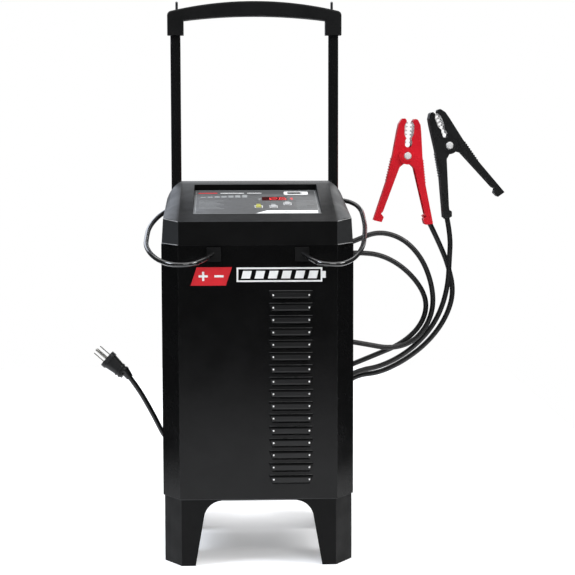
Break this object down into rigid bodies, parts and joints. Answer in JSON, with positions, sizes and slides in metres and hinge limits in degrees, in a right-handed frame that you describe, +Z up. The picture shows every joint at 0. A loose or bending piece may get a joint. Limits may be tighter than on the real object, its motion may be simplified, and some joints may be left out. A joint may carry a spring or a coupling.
{
  "type": "wheeled battery charger",
  "caption": "Upright wheeled car battery charger: black steel cabinet with louvred front, sloping control head, telescopic handle, cable wrap rods, mains plug and red and black spring clamps.",
  "frame": {"origin": "on the floor under the middle of the charger, measured without its cables", "axes": "+Z up, -Y is the louvred front with the control head, +X to the right seen from the front"},
  "size_m": [0.5916, 0.3302, 0.7544],
  "materials": {
    "cabinet_paint": "satin",
    "foot_plastic": "fine texture",
    "head_plastic": "fine texture",
    "overlay_film": "printed polycarbonate film",
    "window_smoke": "smoked",
    "display_block": "gloss",
    "board_green": "solder mask",
    "button_yellow": "satin",
    "button_grey": "satin",
    "core_steel": "laminated",
    "winding_wrap": "enamelled wire",
    "heatsink_alu": "extruded",
    "fan_plastic": "matte",
    "guide_paint": "satin",
    "tube_paint": "gloss",
    "grip_plastic": "fine texture",
    "post_steel": "blackened",
    "screw_steel": "blackened",
    "hub_plastic": "matte",
    "tyre_rubber": "matte",
    "axle_steel": "zinc plated",
    "wrap_paint": "gloss",
    "relief_rubber": "matte",
    "cord_black": "satin",
    "tie_nylon": "matte",
    "clamp_red": "satin",
    "clamp_black": "satin",
    "jaw_steel": "zinc plated",
    "plug_rubber": "satin",
    "plug_nickel": "nickel plated"
  },
  "bodies": {
    "charger": {"cabinet_front": "cabinet_paint", "cabinet_side_left": "cabinet_paint", "cabinet_side_right": "cabinet_paint", "rear_panel": "cabinet_paint", "base_pan": "cabinet_paint", "front_foot": "foot_plastic", "head_cover": "head_plastic", "control_overlay": "overlay_film", "display_window": "window_smoke", "digit_display": "display_block", "control_board": "board_green", "transformer_core": "core_steel", "transformer_winding": "winding_wrap", "rectifier": "heatsink_alu", "fan_frame": "fan_plastic", "handle_guide_left": "guide_paint", "handle_guide_right": "guide_paint", "axle_brackets": "cabinet_paint", "axle": "axle_steel", "axle_caps": "axle_steel", "cable_wrap_left": "wrap_paint", "cable_wrap_right": "wrap_paint", "wrap_mounts": "head_plastic", "strain_reliefs": "relief_rubber", "black_cable_upper": "cord_black", "black_cable_lower": "cord_black", "red_cable_upper": "cord_black", "red_cable_lower": "cord_black", "mains_cord_upper": "cord_black", "mains_cord_lower": "cord_black", "black_cable_coil": "cord_black", "red_cable_coil": "cord_black", "mains_cord_coil": "cord_black", "coil_ties": "tie_nylon", "red_clamp_fixed_lever": "clamp_red", "red_clamp_fixed_jaw": "jaw_steel", "red_clamp_pivot": "jaw_steel", "black_clamp_fixed_lever": "clamp_black", "black_clamp_fixed_jaw": "jaw_steel", "black_clamp_pivot": "jaw_steel", "plug_body": "plug_rubber", "plug_pins": "plug_nickel", "cabinet_screws": "screw_steel"},
    "handle": {"handle_tube_left": "tube_paint", "handle_tube_right": "tube_paint", "handle_grip": "grip_plastic", "clamp_posts": "post_steel", "handle_screws": "screw_steel"},
    "wheel_left": {"wheel_hub_left": "hub_plastic", "wheel_tyre_left": "tyre_rubber"},
    "wheel_right": {"wheel_hub_right": "hub_plastic", "wheel_tyre_right": "tyre_rubber"},
    "fan": {"fan_rotor": "fan_plastic"},
    "button_type": {"type_button": "button_yellow"},
    "button_rate": {"rate_button": "button_grey"},
    "button_display": {"display_button": "button_grey"},
    "red_lever": {"red_clamp_moving_lever": "clamp_red", "red_clamp_moving_jaw": "jaw_steel"},
    "black_lever": {"black_clamp_moving_lever": "clamp_black", "black_clamp_moving_jaw": "jaw_steel"}
  },
  "joints": [
    {"name": "handle_slide", "type": "slide", "parent": "charger", "child": "handle", "axis": [0, 0, 1], "range_m": [-0.192, 0]},
    {"name": "wheel_left_spin", "type": "hinge", "parent": "charger", "child": "wheel_left", "pos_m": [-0.107, 0.115, 0.05], "axis": [1, 0, 0], "continuous": true},
    {"name": "wheel_right_spin", "type": "hinge", "parent": "charger", "child": "wheel_right", "pos_m": [0.107, 0.115, 0.05], "axis": [1, 0, 0], "continuous": true},
    {"name": "fan_spin", "type": "hinge", "parent": "charger", "child": "fan", "pos_m": [0.024, 0.06, 0.3], "axis": [0, 1, 0], "continuous": true},
    {"name": "type_press", "type": "slide", "parent": "charger", "child": "button_type", "axis": [0, 0.1819, -0.9833], "range_m": [0, 0.0008], "stiffness_N_per_m": 2000, "springref_m": -0.0005},
    {"name": "rate_press", "type": "slide", "parent": "charger", "child": "button_rate", "axis": [0, 0.1819, -0.9833], "range_m": [0, 0.0008], "stiffness_N_per_m": 2000, "springref_m": -0.0005},
    {"name": "display_press", "type": "slide", "parent": "charger", "child": "button_display", "axis": [0, 0.1819, -0.9833], "range_m": [0, 0.0008], "stiffness_N_per_m": 2000, "springref_m": -0.0005},
    {"name": "red_clamp_squeeze", "type": "hinge", "parent": "charger", "child": "red_lever", "pos_m": [0.223, 0.15, 0.536], "axis": [0, -1, 0], "range_deg": [0, 25], "stiffness_Nm_per_rad": 2, "springref_deg": -28.65},
    {"name": "black_clamp_squeeze", "type": "hinge", "parent": "charger", "child": "black_lever", "pos_m": [0.283, 0.143, 0.551], "axis": [0, 1, 0], "range_deg": [0, 25], "stiffness_Nm_per_rad": 2, "springref_deg": -28.65}
  ]
}
